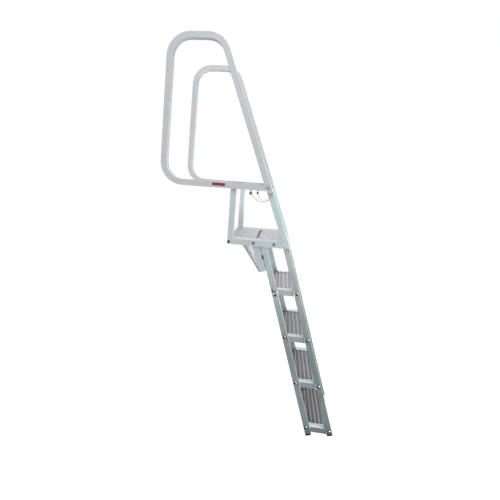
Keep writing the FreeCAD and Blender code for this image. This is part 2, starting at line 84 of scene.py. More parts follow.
# Studio: a pale floor under the feet and a pale surrounding, with large soft lamps above
# the camera, overhead, low on the water side and on the dock side, and behind.  Metal
# reflects the pale surrounding, and the floor keeps a faint shadow.
def colour(code):
    """A hex colour as sRGB turned to linear, with full alpha."""
    parts = [int(code[start : start + 2], 16) / 255 for start in (1, 3, 5)]
    return tuple(
        part / 12.92 if part <= 0.04045 else ((part + 0.055) / 1.055) ** 2.4 for part in parts
    ) + (1.0,)


def add(tree, kind, inputs=None, **settings):
    """One node with its settings; inputs maps its sockets to values or to other sockets."""
    made = tree.nodes.new(kind)
    for word, value in settings.items():
        setattr(made, word, value)
    for socket, source in (inputs or {}).items():
        if isinstance(source, bpy.types.NodeSocket):
            tree.links.new(source, made.inputs[socket])
        else:
            made.inputs[socket].default_value = source
    return made


def seen_background(tree):
    """1 for the rays that should see a white background, 0 for the rest."""
    path = add(tree, "ShaderNodeLightPath")
    first = add(
        tree,
        "ShaderNodeMath",
        {0: path.outputs["Is Camera Ray"], 1: path.outputs["Is Glossy Ray"]},
        operation="MAXIMUM",
    )
    return add(
        tree,
        "ShaderNodeMath",
        {0: first.outputs[0], 1: path.outputs["Is Transmission Ray"]},
        operation="MAXIMUM",
    ).outputs[0]


AMBIENT = 0.19
FLOOR_SIZE = 14.0
FLOOR_DROP = 0.002
world = bpy.data.worlds.new("pale_surrounding")
bpy.context.scene.world = world
world.use_nodes = True
tree = world.node_tree
tree.nodes.clear()
level = add(
    tree,
    "ShaderNodeMapRange",
    {"Value": seen_background(tree), "To Min": AMBIENT, "To Max": 1.0},
)
shade = add(
    tree,
    "ShaderNodeBackground",
    {"Color": colour("#ffffff"), "Strength": level.outputs["Result"]},
)
add(tree, "ShaderNodeOutputWorld", {"Surface": shade.outputs[0]})

floor_mesh = bpy.data.meshes.new("floor")
work = bmesh.new()
bmesh.ops.create_grid(work, x_segments=1, y_segments=1, size=FLOOR_SIZE / 2)
bmesh.ops.translate(work, verts=work.verts, vec=(0, 0, CAD_BOX[0][2] - FLOOR_DROP))
work.to_mesh(floor_mesh)
work.free()
floor = bpy.data.objects.new("floor", floor_mesh)
bpy.context.scene.collection.objects.link(floor)
floor_paint = bpy.data.materials.new("pale_floor")
floor_paint.use_nodes = True
tree = floor_paint.node_tree
tree.nodes.clear()
matt = add(tree, "ShaderNodeBsdfDiffuse", {"Color": colour("#505050")})
faint = add(tree, "ShaderNodeBsdfDiffuse", {"Color": colour("#6a6a6a")})
glow = add(tree, "ShaderNodeEmission", {"Color": colour("#ffffff"), "Strength": 0.97})
seen = add(tree, "ShaderNodeAddShader", {0: faint.outputs[0], 1: glow.outputs[0]})
mixed = add(
    tree,
    "ShaderNodeMixShader",
    {0: seen_background(tree), 1: matt.outputs[0], 2: seen.outputs[0]},
)
add(tree, "ShaderNodeOutputMaterial", {"Surface": mixed.outputs[0]})
floor_mesh.materials.append(floor_paint)

LAMPS = (
    ("key_lamp", (-0.3, -4.2, 2.6), (0.2, 0.2, -0.4), 2.6, 118),
    ("top_lamp", (0.9, 0.4, 5.0), (0.3, 0.3, -0.6), 2.6, 226),
    ("water_lamp", (2.9, -0.4, -1.2), (0.55, 0.3, -1.0), 1.4, 165),
    ("dock_lamp", (-2.6, -0.8, -0.8), (0.15, 0.2, -0.4), 1.5, 30),
    ("far_lamp", (0.2, 4.6, -0.6), (0.2, 0.6, -0.2), 1.6, 34),
)
for name, place, aim, size, power in LAMPS:
    lamp_data = bpy.data.lights.new(name, "AREA")
    lamp_data.size = size
    lamp_data.energy = power
    lamp = bpy.data.objects.new(name, lamp_data)
    bpy.context.scene.collection.objects.link(lamp)
    lamp.location = place
    lamp.rotation_euler = (Vector(aim) - Vector(place)).to_track_quat("-Z", "Y").to_euler()


# Lanyards: thin stranded steel wire, one on each side, crimped to a ring on the pivot
# bolt.  It hangs in a slack loop below the deck leg and ends in the lock pin's knob.
SPAN = 0.572
WIRE = 0.003
LANYARD_ROUTES = {
    "left": (
        (0.250, 0.015, 0.022),
        (0.259, -0.006, 0.022),
        (0.256, -0.028, 0.020),
        (0.244, -0.049, 0.0175),
        (0.227, -0.065, 0.0155),
        (0.206, -0.073, 0.013),
        (0.183, -0.068, 0.010),
        (0.163, -0.054, 0.007),
        (0.147, -0.038, 0.0035),
        (0.136, -0.026, 0.001),
    ),
    "right": (
        (0.250, 0.015, 0.022),
        (0.259, -0.008, 0.022),
        (0.259, -0.035, 0.020),
        (0.251, -0.062, 0.0175),
        (0.235, -0.086, 0.0155),
        (0.213, -0.102, 0.013),
        (0.187, -0.105, 0.010),
        (0.163, -0.095, 0.007),
        (0.145, -0.076, 0.0035),
        (0.1335, -0.049, 0.001),
    ),
}


def inboard_of(side, distance):
    """Y of a plane that lies a distance inboard of one loop's middle."""
    return distance if side == "left" else SPAN - distance


def steel(name, pale, dark, roughness, grain_mm):
    """Turned or drawn stainless steel: a cool grey with fine grain and uneven gloss."""
    made = bpy.data.materials.new(name)
    made.use_nodes = True
    tree = made.node_tree
    tree.nodes.clear()
    spot = add(tree, "ShaderNodeTexCoord").outputs["Object"]
    grain = add(tree, "ShaderNodeTexNoise", {"Vector": spot, "Scale": 1000 / grain_mm, "Detail": 3})
    tone = add(
        tree,
        "ShaderNodeMix",
        {0: grain.outputs["Fac"], 6: colour(dark), 7: colour(pale)},
        data_type="RGBA",
    )
    gloss = add(
        tree,
        "ShaderNodeMapRange",
        {
            "Value": grain.outputs["Fac"],
            "To Min": roughness - 0.08,
            "To Max": roughness + 0.08,
        },
    )
    relief = add(
        tree,
        "ShaderNodeBump",
        {"Height": grain.outputs["Fac"], "Strength": 0.2, "Distance": 0.0002},
    )
    skin = add(
        tree,
        "ShaderNodeBsdfPrincipled",
        {
            "Base Color": tone.outputs[2],
            "Metallic": 1.0,
            "Roughness": gloss.outputs["Result"],
            "Normal": relief.outputs["Normal"],
        },
    )
    add(tree, "ShaderNodeOutputMaterial", {"Surface": skin.outputs[0]})
    return made


wire_steel = steel("stranded_wire_steel", "#8f9894", "#59605d", 0.45, 1.2)
for side in ("left", "right"):
    line = bpy.data.curves.new(side + "_lanyard_wire", "CURVE")
    line.dimensions = "3D"
    line.bevel_depth = WIRE / 2
    line.bevel_resolution = 3
    line.use_fill_caps = True
    run = line.splines.new("NURBS")
    run.points.add(len(LANYARD_ROUTES[side]) - 1)
    for point, (x, z, inboard) in zip(run.points, LANYARD_ROUTES[side]):
        point.co = (x, inboard_of(side, inboard), z, 1)
    run.order_u = 3
    run.use_endpoint_u = True
    run.resolution_u = 12
    wire = bpy.data.objects.new(side + "_lanyard_wire", line)
    bpy.context.scene.collection.objects.link(wire)
    line.materials.append(wire_steel)
    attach(wire, "handrails")
    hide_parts(side + "_lanyard")


# Handrail loops: 38 mm square aluminium tube bent to a closed D, its deck leg coped
# and welded to the sloping leg.  The tube's edges are slightly rounded by extrusion,
# and its satin skin is clear anodised.
def plain_mesh(piece):
    """Replace a piece's mesh by what its modifiers make of it, and drop the modifiers."""
    graph = bpy.context.evaluated_depsgraph_get()
    made = bpy.data.meshes.new_from_object(piece.evaluated_get(graph))
    piece.modifiers.clear()
    piece.data = made
    return piece


def finished(node, body, material, edge=0.0022, shortest=0.0, sharp=40):
    """A merged copy of a CAD node with its long edges rounded, which stands for it."""
    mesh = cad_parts[node].data.copy()
    mesh.name = node + "_finish"
    work = bmesh.new()
    work.from_mesh(mesh)
    bmesh.ops.remove_doubles(work, verts=work.verts, dist=0.00002)
    bmesh.ops.dissolve_limit(
        work, angle_limit=math.radians(0.5), verts=work.verts, edges=work.edges
    )
    weight = work.edges.layers.float.get("bevel_weight_edge")
    weight = weight or work.edges.layers.float.new("bevel_weight_edge")
    for side_edge in work.edges:
        turned = side_edge.is_manifold and side_edge.calc_face_angle(0) > math.radians(sharp)
        side_edge[weight] = 1.0 if turned and side_edge.calc_length() >= shortest else 0.0
    work.to_mesh(mesh)
    work.free()
    mesh.materials.clear()
    mesh.materials.append(material)
    mesh.shade_smooth()
    mesh.set_sharp_from_angle(angle=math.radians(35))
    piece = bpy.data.objects.new(node + "_finish", mesh)
    bpy.context.scene.collection.objects.link(piece)
    if edge:
        rounding = piece.modifiers.new("rounding", "BEVEL")
        rounding.limit_method = "WEIGHT"
        rounding.width = edge
        rounding.segments = 3
        rounding.use_clamp_overlap = False
        rounding.harden_normals = True
        plain_mesh(piece)
    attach(piece, body)
    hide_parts(node)
    return piece


SKIN_METALLIC = 0.18
# Heights over which the foot colour darkens the skin as painted shade, and the band just above the
# feet where it is darker again.
FOOT_SHADE_START = -0.38
FOOT_SHADE_END = -1.05
LOW_BAND_START = -1.50
LOW_BAND_END = -1.60
LOW_BAND_TONE = "#c0bcbf"
WARM_TINT = "#fefafd"
COOL_TINT = "#f3fcfc"


def anodised(
    name, pale, dark, roughness, turn=(0, 0, 0), across_mm=1.8, along_mm=140, bump=0.1, foot=None
):
    """Satin anodised aluminium: die lines along the extrusion and a cloudy, uneven tone
    that drifts from a faint lilac to a faint green over some 200 mm.

    The real die lines are some 0.2 mm apart, drawn coarser here so that they show.  Where
    a foot colour is given, it darkens the skin more and more down the ladder as painted
    shade, and darkens it again in a band just above the feet.
    """
    made = bpy.data.materials.new(name)
    made.use_nodes = True
    tree = made.node_tree
    tree.nodes.clear()
    spot = add(tree, "ShaderNodeTexCoord").outputs["Object"]
    laid = add(
        tree,
        "ShaderNodeMapping",
        {"Vector": spot, "Rotation": [math.radians(angle) for angle in turn]},
    )
    stretched = add(
        tree,
        "ShaderNodeMapping",
        {
            "Vector": laid.outputs[0],
            "Scale": (1000 / across_mm, 1000 / across_mm, 1000 / along_mm),
        },
    )
    lines = add(
        tree, "ShaderNodeTexNoise", {"Vector": stretched.outputs[0], "Scale": 1.0, "Detail": 3}
    )
    clouds = add(tree, "ShaderNodeTexNoise", {"Vector": spot, "Scale": 14, "Detail": 5})
    blend = add(
        tree,
        "ShaderNodeMix",
        {0: 0.35, 2: clouds.outputs["Fac"], 3: lines.outputs["Fac"]},
        data_type="FLOAT",
    )
    tone = add(
        tree,
        "ShaderNodeMix",
        {0: blend.outputs[0], 6: colour(dark), 7: colour(pale)},
        data_type="RGBA",
    )
    patches = add(tree, "ShaderNodeTexNoise", {"Vector": spot, "Scale": 5, "Detail": 1})
    drift = add(
        tree,
        "ShaderNodeMapRange",
        {"Value": patches.outputs["Fac"], "From Min": 0.4, "From Max": 0.6},
    )
    tint = add(
        tree,
        "ShaderNodeMix",
        {0: drift.outputs["Result"], 6: colour(WARM_TINT), 7: colour(COOL_TINT)},
        data_type="RGBA",
    )
    tone = add(
        tree,
        "ShaderNodeMix",
        {0: 1.0, 6: tone.outputs[2], 7: tint.outputs[2]},
        data_type="RGBA",
        blend_type="MULTIPLY",
    )
    gloss = add(
        tree,
        "ShaderNodeMapRange",
        {
            "Value": clouds.outputs["Fac"],
            "To Min": roughness - 0.07,
            "To Max": roughness + 0.07,
        },
    )
    relief = add(
        tree,
        "ShaderNodeBump",
        {"Height": lines.outputs["Fac"], "Strength": bump, "Distance": 0.0002},
    )
    # Painted shade: darker down the ladder, and darker again just above the feet.
    if foot:
        height = add(tree, "ShaderNodeSeparateXYZ", {0: spot}).outputs["Z"]
        down = add(
            tree,
            "ShaderNodeMapRange",
            {"Value": height, "From Min": FOOT_SHADE_START, "From Max": FOOT_SHADE_END},
        )
        tone = add(
            tree,
            "ShaderNodeMix",
            {0: down.outputs["Result"], 6: tone.outputs[2], 7: colour(foot)},
            data_type="RGBA",
            blend_type="MULTIPLY",
        )
        low_band = add(
            tree,
            "ShaderNodeMapRange",
            {"Value": height, "From Min": LOW_BAND_START, "From Max": LOW_BAND_END},
        )
        tone = add(
            tree,
            "ShaderNodeMix",
            {0: low_band.outputs["Result"], 6: tone.outputs[2], 7: colour(LOW_BAND_TONE)},
            data_type="RGBA",
            blend_type="MULTIPLY",
        )
    skin = add(
        tree,
        "ShaderNodeBsdfPrincipled",
        {
            "Base Color": tone.outputs[2],
            "Metallic": SKIN_METALLIC,
            "Roughness": gloss.outputs["Result"],
            "Normal": relief.outputs["Normal"],
        },
    )
    add(tree, "ShaderNodeOutputMaterial", {"Surface": skin.outputs[0]})
    return made


loop_skin = anodised(
    "satin_anodised_loop_tube", "#c6c7ca", "#bbbcbf", 0.58, across_mm=25, along_mm=25, bump=0.02
)
for side in ("left", "right"):
    finished(side + "_handrail_loop", "handrails", loop_skin)


# Bare label plate: a thin painted strip on the near loop's deck leg, left without any
# lettering.  It is stuck flat to the tube's outer face.
LABEL_LOW = Vector((-0.111, -0.0196, 0.012))
LABEL_HIGH = Vector((-0.029, -0.0190, 0.030))
LABEL_ROUND = 0.003
label_mesh = bpy.data.meshes.new("label_plate")
work = bmesh.new()
bmesh.ops.create_cube(work, size=1.0)
for corner in work.verts:
    corner.co = [
        low + (value + 0.5) * (high - low)
        for low, high, value in zip(LABEL_LOW, LABEL_HIGH, corner.co)
    ]
upright = [
    line for line in work.edges if abs(line.verts[0].co.y - line.verts[1].co.y) > 0.0001
]
bmesh.ops.bevel(work, geom=upright, offset=LABEL_ROUND, segments=4, affect="EDGES", profile=0.5)
work.to_mesh(label_mesh)
work.free()
label = bpy.data.objects.new("label_plate", label_mesh)
bpy.context.scene.collection.objects.link(label)
label_paint = bpy.data.materials.new("dull_red_vinyl")
label_paint.use_nodes = True
tree = label_paint.node_tree
tree.nodes.clear()
spot = add(tree, "ShaderNodeTexCoord").outputs["Object"]
wear = add(tree, "ShaderNodeTexNoise", {"Vector": spot, "Scale": 160, "Detail": 4})
tone = add(
    tree,
    "ShaderNodeMix",
    {0: wear.outputs["Fac"], 6: colour("#6d1a30"), 7: colour("#8c2c45")},
    data_type="RGBA",
)
skin = add(
    tree, "ShaderNodeBsdfPrincipled", {"Base Color": tone.outputs[2], "Roughness": 0.4}
)
add(tree, "ShaderNodeOutputMaterial", {"Surface": skin.outputs[0]})
label_mesh.materials.append(label_paint)
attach(label, "handrails")


# Pivot bolts, lock pins and lanyard rings: turned stainless steel, dulled by weather.
# The pins are pushed up into the deck legs, and each wire ends in a pin's knob.
fixing_steel = steel("weathered_stainless", "#6e7172", "#3c3f41", 0.38, 2.5)
bolt_head_steel = steel("grey_stainless", "#989b9c", "#707374", 0.38, 2.5)
pale_steel = steel("pale_pin_steel", "#c2c5c6", "#9da1a2", 0.35, 2.5)
KNOB_REACH = 0.0101
for side in ("left", "right"):
    finished(side + "_pivot_bolt", "handrails", bolt_head_steel, 0.0008, 0.005)
    pin = finished(side + "_lock_pin", "handrails", pale_steel, 0)
    low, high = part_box(side + "_lock_pin")
    knob = Vector(((low[0] + high[0]) / 2, (low[1] + high[1]) / 2, low[2] + KNOB_REACH))
    pin.data.materials.append(fixing_steel)
    for face in pin.data.polygons:
        face.material_index = 1 if (face.center - knob).length < KNOB_REACH else 0
    ring = finished(side + "_lanyard_eye", "handrails", fixing_steel, 0)
    x, z, inboard = LANYARD_ROUTES[side][0]


# Swinging frame: posts, level rails and sloping struts of the same square tube, mitred
# and welded at their corners.  Their skin is a little greener than the loops'.
BACK_LEAN = 21.2
HOLE_EDGE = 0.012
upright_skin = anodised("satin_anodised_post_tube", "#cdd2d4", "#b6bcbe", 0.5)
level_skin = anodised("satin_anodised_rail_tube", "#cdd2d4", "#b6bcbe", 0.5, (0, 90, 0))
strut_skin = anodised("satin_anodised_strut_tube", "#cad5d4", "#b5c2c1", 0.5, (0, BACK_LEAN, 0))
# Black polythene for the caps.  The same black also paints shade: in spare holes, in the bracket
# slots and under the step bolts' heads.
black_caps_and_shade = bpy.data.materials.new("moulded_black_polythene")
black_caps_and_shade.use_nodes = True
tree = black_caps_and_shade.node_tree
tree.nodes.clear()
spot = add(tree, "ShaderNodeTexCoord").outputs["Object"]
pores = add(tree, "ShaderNodeTexNoise", {"Vector": spot, "Scale": 700, "Detail": 2})
tone = add(
    tree,
    "ShaderNodeMix",
    {0: pores.outputs["Fac"], 6: colour("#0b0b0b"), 7: colour("#171818")},
    data_type="RGBA",
)
relief = add(
    tree,
    "ShaderNodeBump",
    {"Height": pores.outputs["Fac"], "Strength": 0.25, "Distance": 0.0003},
)
skin = add(
    tree,
    "ShaderNodeBsdfPrincipled",
    {
        "Base Color": tone.outputs[2],
        "Roughness": 0.6,
        "Specular IOR Level": 0.2,
        "Normal": relief.outputs["Normal"],
    },
)
add(tree, "ShaderNodeOutputMaterial", {"Surface": skin.outputs[0]})
# Near-black skin for the insides of tubes: painted shade, seen through their holes.
tube_inside = bpy.data.materials.new("dull_tube_inside")
tube_inside.use_nodes = True
tree = tube_inside.node_tree
tree.nodes.clear()
spot = add(tree, "ShaderNodeTexCoord").outputs["Object"]
scale = add(tree, "ShaderNodeTexNoise", {"Vector": spot, "Scale": 90, "Detail": 3})
tone = add(
    tree,
    "ShaderNodeMix",
    {0: scale.outputs["Fac"], 6: colour("#0d0e0e"), 7: colour("#1c1d1d")},
    data_type="RGBA",
)
skin = add(
    tree,
    "ShaderNodeBsdfPrincipled",
    {"Base Color": tone.outputs[2], "Roughness": 0.9, "Specular IOR Level": 0.1},
)
add(tree, "ShaderNodeOutputMaterial", {"Surface": skin.outputs[0]})
WALL_HALF = 0.001


def dark_inside(piece, lean):
    """The faces inside a leaning tube get a near-black skin, painted shade that shows in its hole.
    """
    cosine, sine = math.cos(math.radians(lean)), math.sin(math.radians(lean))
    piece.data.materials.append(tube_inside)
    level = [corner.co.x * cosine + corner.co.z * sine for corner in piece.data.vertices]
    sides = [corner.co.y for corner in piece.data.vertices]
    for face in piece.data.polygons:
        middle = face.center.x * cosine + face.center.z * sine
        deep = min(middle - min(level), max(level) - middle)
        deep = min(deep, face.center.y - min(sides), max(sides) - face.center.y)
        end_face = abs(face.normal.z * cosine - face.normal.x * sine) > 0.7
        if deep > WALL_HALF and not end_face:
            face.material_index = 1


for side in ("left", "right"):
    post = finished(side + "_post", "swing_ladder", upright_skin, shortest=HOLE_EDGE)
    dark_inside(post, 0)
    finished(side + "_post_cap", "swing_ladder", black_caps_and_shade, 0.0015)
    finished(side + "_platform_rail", "swing_ladder", level_skin)
    finished(side + "_strut", "swing_ladder", strut_skin)


# Small bolts: domed heads on washers that hold the treads and steps to the tubes,
# pushed through from each outer side.  Turned stainless steel, the steps' bolts on black
# washers set low under each head, so that a black crescent below the head is painted shadow.
def bolt_tree():
    """Washers and domed heads on every point of a mesh, facing as the Turn input says."""
    tree = bpy.data.node_groups.new("domed_bolts", "GeometryNodeTree")
    tree.interface.new_socket("Geometry", in_out="INPUT", socket_type="NodeSocketGeometry")
    for name in ("Head Radius", "Head Rise", "Washer Radius", "Washer Thick"):
        tree.interface.new_socket(name, in_out="INPUT", socket_type="NodeSocketFloat")
    for name in ("Turn", "Lift"):
        tree.interface.new_socket(name, in_out="INPUT", socket_type="NodeSocketVector")
    for name in ("Head Material", "Washer Material"):
        tree.interface.new_socket(name, in_out="INPUT", socket_type="NodeSocketMaterial")
    tree.interface.new_socket("Geometry", in_out="OUTPUT", socket_type="NodeSocketGeometry")
    given = add(tree, "NodeGroupInput").outputs
    washer = add(
        tree,
        "GeometryNodeMeshCylinder",
        {"Vertices": 24, "Radius": given["Washer Radius"], "Depth": given["Washer Thick"]},
    )
    ball = add(tree, "GeometryNodeMeshUVSphere", {"Segments": 24, "Rings": 12, "Radius": 1.0})
    size = add(
        tree,
        "ShaderNodeCombineXYZ",
        {0: given["Head Radius"], 1: given["Head Radius"], 2: given["Head Rise"]},
    )
    dome = add(
        tree,
        "GeometryNodeTransform",
        {
            "Geometry": ball.outputs["Mesh"],
            "Translation": given["Lift"],
            "Scale": size.outputs[0],
        },
    )
    smooth = add(tree, "GeometryNodeSetShadeSmooth", {"Geometry": dome.outputs[0]})
    both = add(tree, "GeometryNodeJoinGeometry")
    for shape, material in (
        (smooth.outputs[0], given["Head Material"]),
        (washer.outputs["Mesh"], given["Washer Material"]),
    ):
        coated = add(tree, "GeometryNodeSetMaterial", {"Geometry": shape, "Material": material})
        tree.links.new(coated.outputs[0], both.inputs[0])
    placed = add(
        tree,
        "GeometryNodeInstanceOnPoints",
        {"Points": given["Geometry"], "Instance": both.outputs[0], "Rotation": given["Turn"]},
    )
    real = add(tree, "GeometryNodeRealizeInstances", {"Geometry": placed.outputs[0]})
    add(tree, "NodeGroupOutput", {0: real.outputs[0]})
    return tree


def set_inputs(modifier, **values):
    """Give a Geometry Nodes modifier its inputs by the sockets' identifiers."""
    for item in modifier.node_group.interface.items_tree:
        word = item.name.replace(" ", "_").lower()
        if item.in_out == "INPUT" and word in values:
            modifier[item.identifier] = values[word]


def bolts(
    name, body, points, turn, head, rise, washer, head_stuff, washer_stuff, shift=(0, 0, 0)
):
    """One object of equal bolts at the points, all facing the same way."""
    mesh = bpy.data.meshes.new(name)
    mesh.from_pydata(points, [], [])
    piece = bpy.data.objects.new(name, mesh)
    bpy.context.scene.collection.objects.link(piece)
    modifier = piece.modifiers.new("bolts", "NODES")
    modifier.node_group = DOMED_BOLTS
    set_inputs(
        modifier,
        head_radius=head,
        head_rise=rise,
        washer_radius=washer,
        washer_thick=0.0024,
        turn=turn,
        lift=shift,
        head_material=head_stuff,
        washer_material=washer_stuff,
    )
    plain_mesh(piece)
    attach(piece, body)
    return piece


DOMED_BOLTS = bolt_tree()
RAIL_FACE = 0.025
LADDER_FACE = 0.063
FACING = {"left": (math.pi / 2, 0, 0), "right": (-math.pi / 2, 0, 0)}
UP_IN_FACING = {"left": 1, "right": -1}
RAIL_BOLTS = ((0.170, -0.3375), (0.300, -0.3335))
STEP_SHIFT = (0.0974, -0.307)
FIRST_STEP_BOLTS = ((0.3205, -0.6455), (0.4735, -0.6515))
STEP_COUNT = 4
# Offsets of each step bolt's head on its black washer, which leave a black crescent below it as
# painted shadow.
HEAD_LIFT = 0.0044
HEAD_ASIDE = 0.0016
bolt_steel = steel("bright_stainless", "#e4e7e8", "#b9bdbe", 0.25, 2.0)
for side in ("left", "right"):
    bolts(
        side + "_rail_bolts",
        "swing_ladder",
        [(x, inboard_of(side, RAIL_FACE), z) for x, z in RAIL_BOLTS],
        FACING[side],
        0.0076,
        0.0045,
        0.0092,
        fixing_steel,
        fixing_steel,
    )
    bolts(
        side + "_step_bolts",
        "swing_ladder",
        [
            (x + step * STEP_SHIFT[0], inboard_of(side, LADDER_FACE), z + step * STEP_SHIFT[1])
            for step in range(STEP_COUNT)
            for x, z in FIRST_STEP_BOLTS
        ],
        FACING[side],
        0.0057,
        0.0062,
        0.0104,
        bolt_steel,
        black_caps_and_shade,
        (HEAD_ASIDE, HEAD_LIFT * UP_IN_FACING[side], 0),
    )


# Ladder: on each side a level top tube, two leaning tubes with short level rungs between
# them and black end caps, and a tapered bracket with a sloping board under the platform.
# The same tube, its colour darkened towards its foot as painted shade.
LADDER_LEAN = 17.6
FOOT_SHADE_TONE = "#abafaf"
RUNG_FOOT_SHADE_TONE = "#bec2c2"
# The outer stringers are coloured darker than the inner ones of the same tube: painted shade.
STRINGER_TONES = {"outer": ("#cfd7d7", "#848d8d"), "inner": ("#dde5e6", "#949da0")}
rung_skin = anodised(
    "weathered_rung_tube", "#c1c8ca", "#a9b1b3", 0.5, (0, 90, 0), foot=RUNG_FOOT_SHADE_TONE
)
# Up-facing faces of the rungs get a paler skin: painted light where light falls on their tops.
lit_rung_top = anodised("worn_bright_rung_top", "#f2f2f3", "#dfe0e1", 0.4, (0, 90, 0))
LIT_TOP_ABOVE = 0.7
bracket_skin = anodised("weathered_bracket_plate", "#cacdd0", "#b0b4b7", 0.5, (90, 0, 0))
# The board is coloured paler than the bracket plate: painted light on a face that lies in the
# platform's shade.
lit_board_skin = anodised("pale_bracket_board", "#e2e3e6", "#cfd1d4", 0.5, (90, 0, 0))
for side in ("left", "right"):
    finished(side + "_top_tube", "swing_ladder", level_skin)
    for which, (pale, dark) in STRINGER_TONES.items():
        stringer_skin = anodised(
            f"weathered_{which}_stringer_tube",
            pale,
            dark,
            0.5,
            (0, LADDER_LEAN, 0),
            foot=FOOT_SHADE_TONE,
        )
        stringer = finished(
            f"{side}_{which}_stringer",
            "swing_ladder",
            stringer_skin,
            shortest=HOLE_EDGE,
        )
        dark_inside(stringer, LADDER_LEAN)
        finished(f"{side}_{which}_foot_cap", "swing_ladder", black_caps_and_shade, 0.0015)
    rungs = finished(side + "_rungs", "swing_ladder", rung_skin, 0.0015)
    # Faces that face up take the painted-light skin.
    rungs.data.materials.append(lit_rung_top)
    for face in rungs.data.polygons:
        face.material_index = 1 if face.normal.z > LIT_TOP_ABOVE else 0
    finished(side + "_bracket_leg", "swing_ladder", bracket_skin)
finished("bracket_board", "swing_ladder", lit_board_skin, 0.0012)


# Spare holes: a black ring, painted shade, lies round the one low in each post and the one
# low in each inner stringer, where it sits in a bare pale ring.  A black oval, painted
# shadow, fills the slot between each bracket leg and its stringer.
HOLE_SHADE_INSIDE = 0.0055
HOLE_SHADE_OUTSIDE = 0.0086
RING_OUTSIDE = 0.0125
RING_THICK = 0.0006
POST_HOLE = (0.009, -0.341)
STRINGER_HOLE = (0.3339, -0.678)
SLOT_SHADE_PLACE = (0.233, -0.431)
SLOT_SHADE_SIZE = (0.0055, 0.0016, 0.0165)
bare_metal = anodised("bare_ring_aluminium", "#dfe2e3", "#c9cdce", 0.4)


def flat_ring(name, side, place, face_y, inside, outside, thick, material):
    """A flat ring that lies on a tube's outer face round a hole."""
    mesh = bpy.data.meshes.new(name)
    work = bmesh.new()
    for radius in (inside, outside):
        bmesh.ops.create_circle(work, segments=32, radius=radius)
    bmesh.ops.bridge_loops(work, edges=[line for line in work.edges if line.is_wire])
    walls = bmesh.ops.extrude_face_region(work, geom=list(work.faces))["geom"]
    raised = [item for item in walls if isinstance(item, bmesh.types.BMVert)]
    bmesh.ops.translate(work, verts=raised, vec=(0, 0, thick))
    bmesh.ops.recalc_face_normals(work, faces=work.faces)
    x, z = place
    face = Matrix.Translation((x, inboard_of(side, face_y), z))
    turn = Matrix.Rotation(FACING[side][0], 4, "X")
    bmesh.ops.transform(work, matrix=face @ turn, verts=work.verts)
    work.to_mesh(mesh)
    work.free()
    mesh.materials.append(material)
    ring = bpy.data.objects.new(name, mesh)
    bpy.context.scene.collection.objects.link(ring)
    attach(ring, "swing_ladder")


for side in ("left", "right"):
    # Black rings round the spare holes: painted shade that widens each hole's dark.
    rings = (
        ("_post_grommet", POST_HOLE, RAIL_FACE, HOLE_SHADE_INSIDE, HOLE_SHADE_OUTSIDE, 0.0012),
        ("_ladder_grommet", STRINGER_HOLE, LADDER_FACE, HOLE_SHADE_INSIDE, HOLE_SHADE_OUTSIDE, 0.0012),
    )
    for word, place, face_y, inside, outside, thick in rings:
        flat_ring(
            side + word, side, place, face_y, inside, outside, thick, black_caps_and_shade
        )
    flat_ring(
        side + "_hole_ring",
        side,
        STRINGER_HOLE,
        LADDER_FACE,
        HOLE_SHADE_OUTSIDE,
        RING_OUTSIDE,
        RING_THICK,
        bare_metal,
    )
    # A black oval on the leg's face: painted shadow for the slot.
    mesh = bpy.data.meshes.new(side + "_slot_plug")
    work = bmesh.new()
    bmesh.ops.create_uvsphere(work, u_segments=20, v_segments=12, radius=1.0)
    x, z = SLOT_SHADE_PLACE
    place = Matrix.Translation((x, inboard_of(side, LADDER_FACE), z))
    lean = Matrix.Rotation(-math.radians(LADDER_LEAN), 4, "Y")
    size = Matrix.Diagonal((*SLOT_SHADE_SIZE, 1.0))
    bmesh.ops.transform(work, matrix=place @ lean @ size, verts=work.verts)
    work.to_mesh(mesh)
    work.free()
    mesh.shade_smooth()
    mesh.materials.append(black_caps_and_shade)
    shade_oval = bpy.data.objects.new(side + "_slot_plug", mesh)
    bpy.context.scene.collection.objects.link(shade_oval)
    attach(shade_oval, "swing_ladder")


# Welds: thin beads along the joints of loops, frame and ladder, a row of small
# overlapping drops of aluminium, coloured paler than the tubes as painted highlight.
def weld_tree():
    """Round drops at equal steps along every edge of a mesh."""
    tree = bpy.data.node_groups.new("weld_beads", "GeometryNodeTree")
    tree.interface.new_socket("Geometry", in_out="INPUT", socket_type="NodeSocketGeometry")
    for name in ("Drop Radius", "Drop Step"):
        tree.interface.new_socket(name, in_out="INPUT", socket_type="NodeSocketFloat")
    tree.interface.new_socket("Material", in_out="INPUT", socket_type="NodeSocketMaterial")
    tree.interface.new_socket("Geometry", in_out="OUTPUT", socket_type="NodeSocketGeometry")
    given = add(tree, "NodeGroupInput").outputs
    line = add(tree, "GeometryNodeMeshToCurve", {"Mesh": given["Geometry"]})
    spots = add(
        tree,
        "GeometryNodeCurveToPoints",
        {"Curve": line.outputs[0], "Length": given["Drop Step"]},
        mode="LENGTH",
    )
    drop = add(
        tree,
        "GeometryNodeMeshUVSphere",
        {"Segments": 10, "Rings": 6, "Radius": given["Drop Radius"]},
    )
    smooth = add(tree, "GeometryNodeSetShadeSmooth", {"Geometry": drop.outputs["Mesh"]})
    placed = add(
        tree,
        "GeometryNodeInstanceOnPoints",
        {"Points": spots.outputs["Points"], "Instance": smooth.outputs[0]},
    )
    real = add(tree, "GeometryNodeRealizeInstances", {"Geometry": placed.outputs[0]})
    painted = add(
        tree,
        "GeometryNodeSetMaterial",
        {"Geometry": real.outputs[0], "Material": given["Material"]},
    )
    add(tree, "NodeGroupOutput", {0: painted.outputs[0]})
    return tree


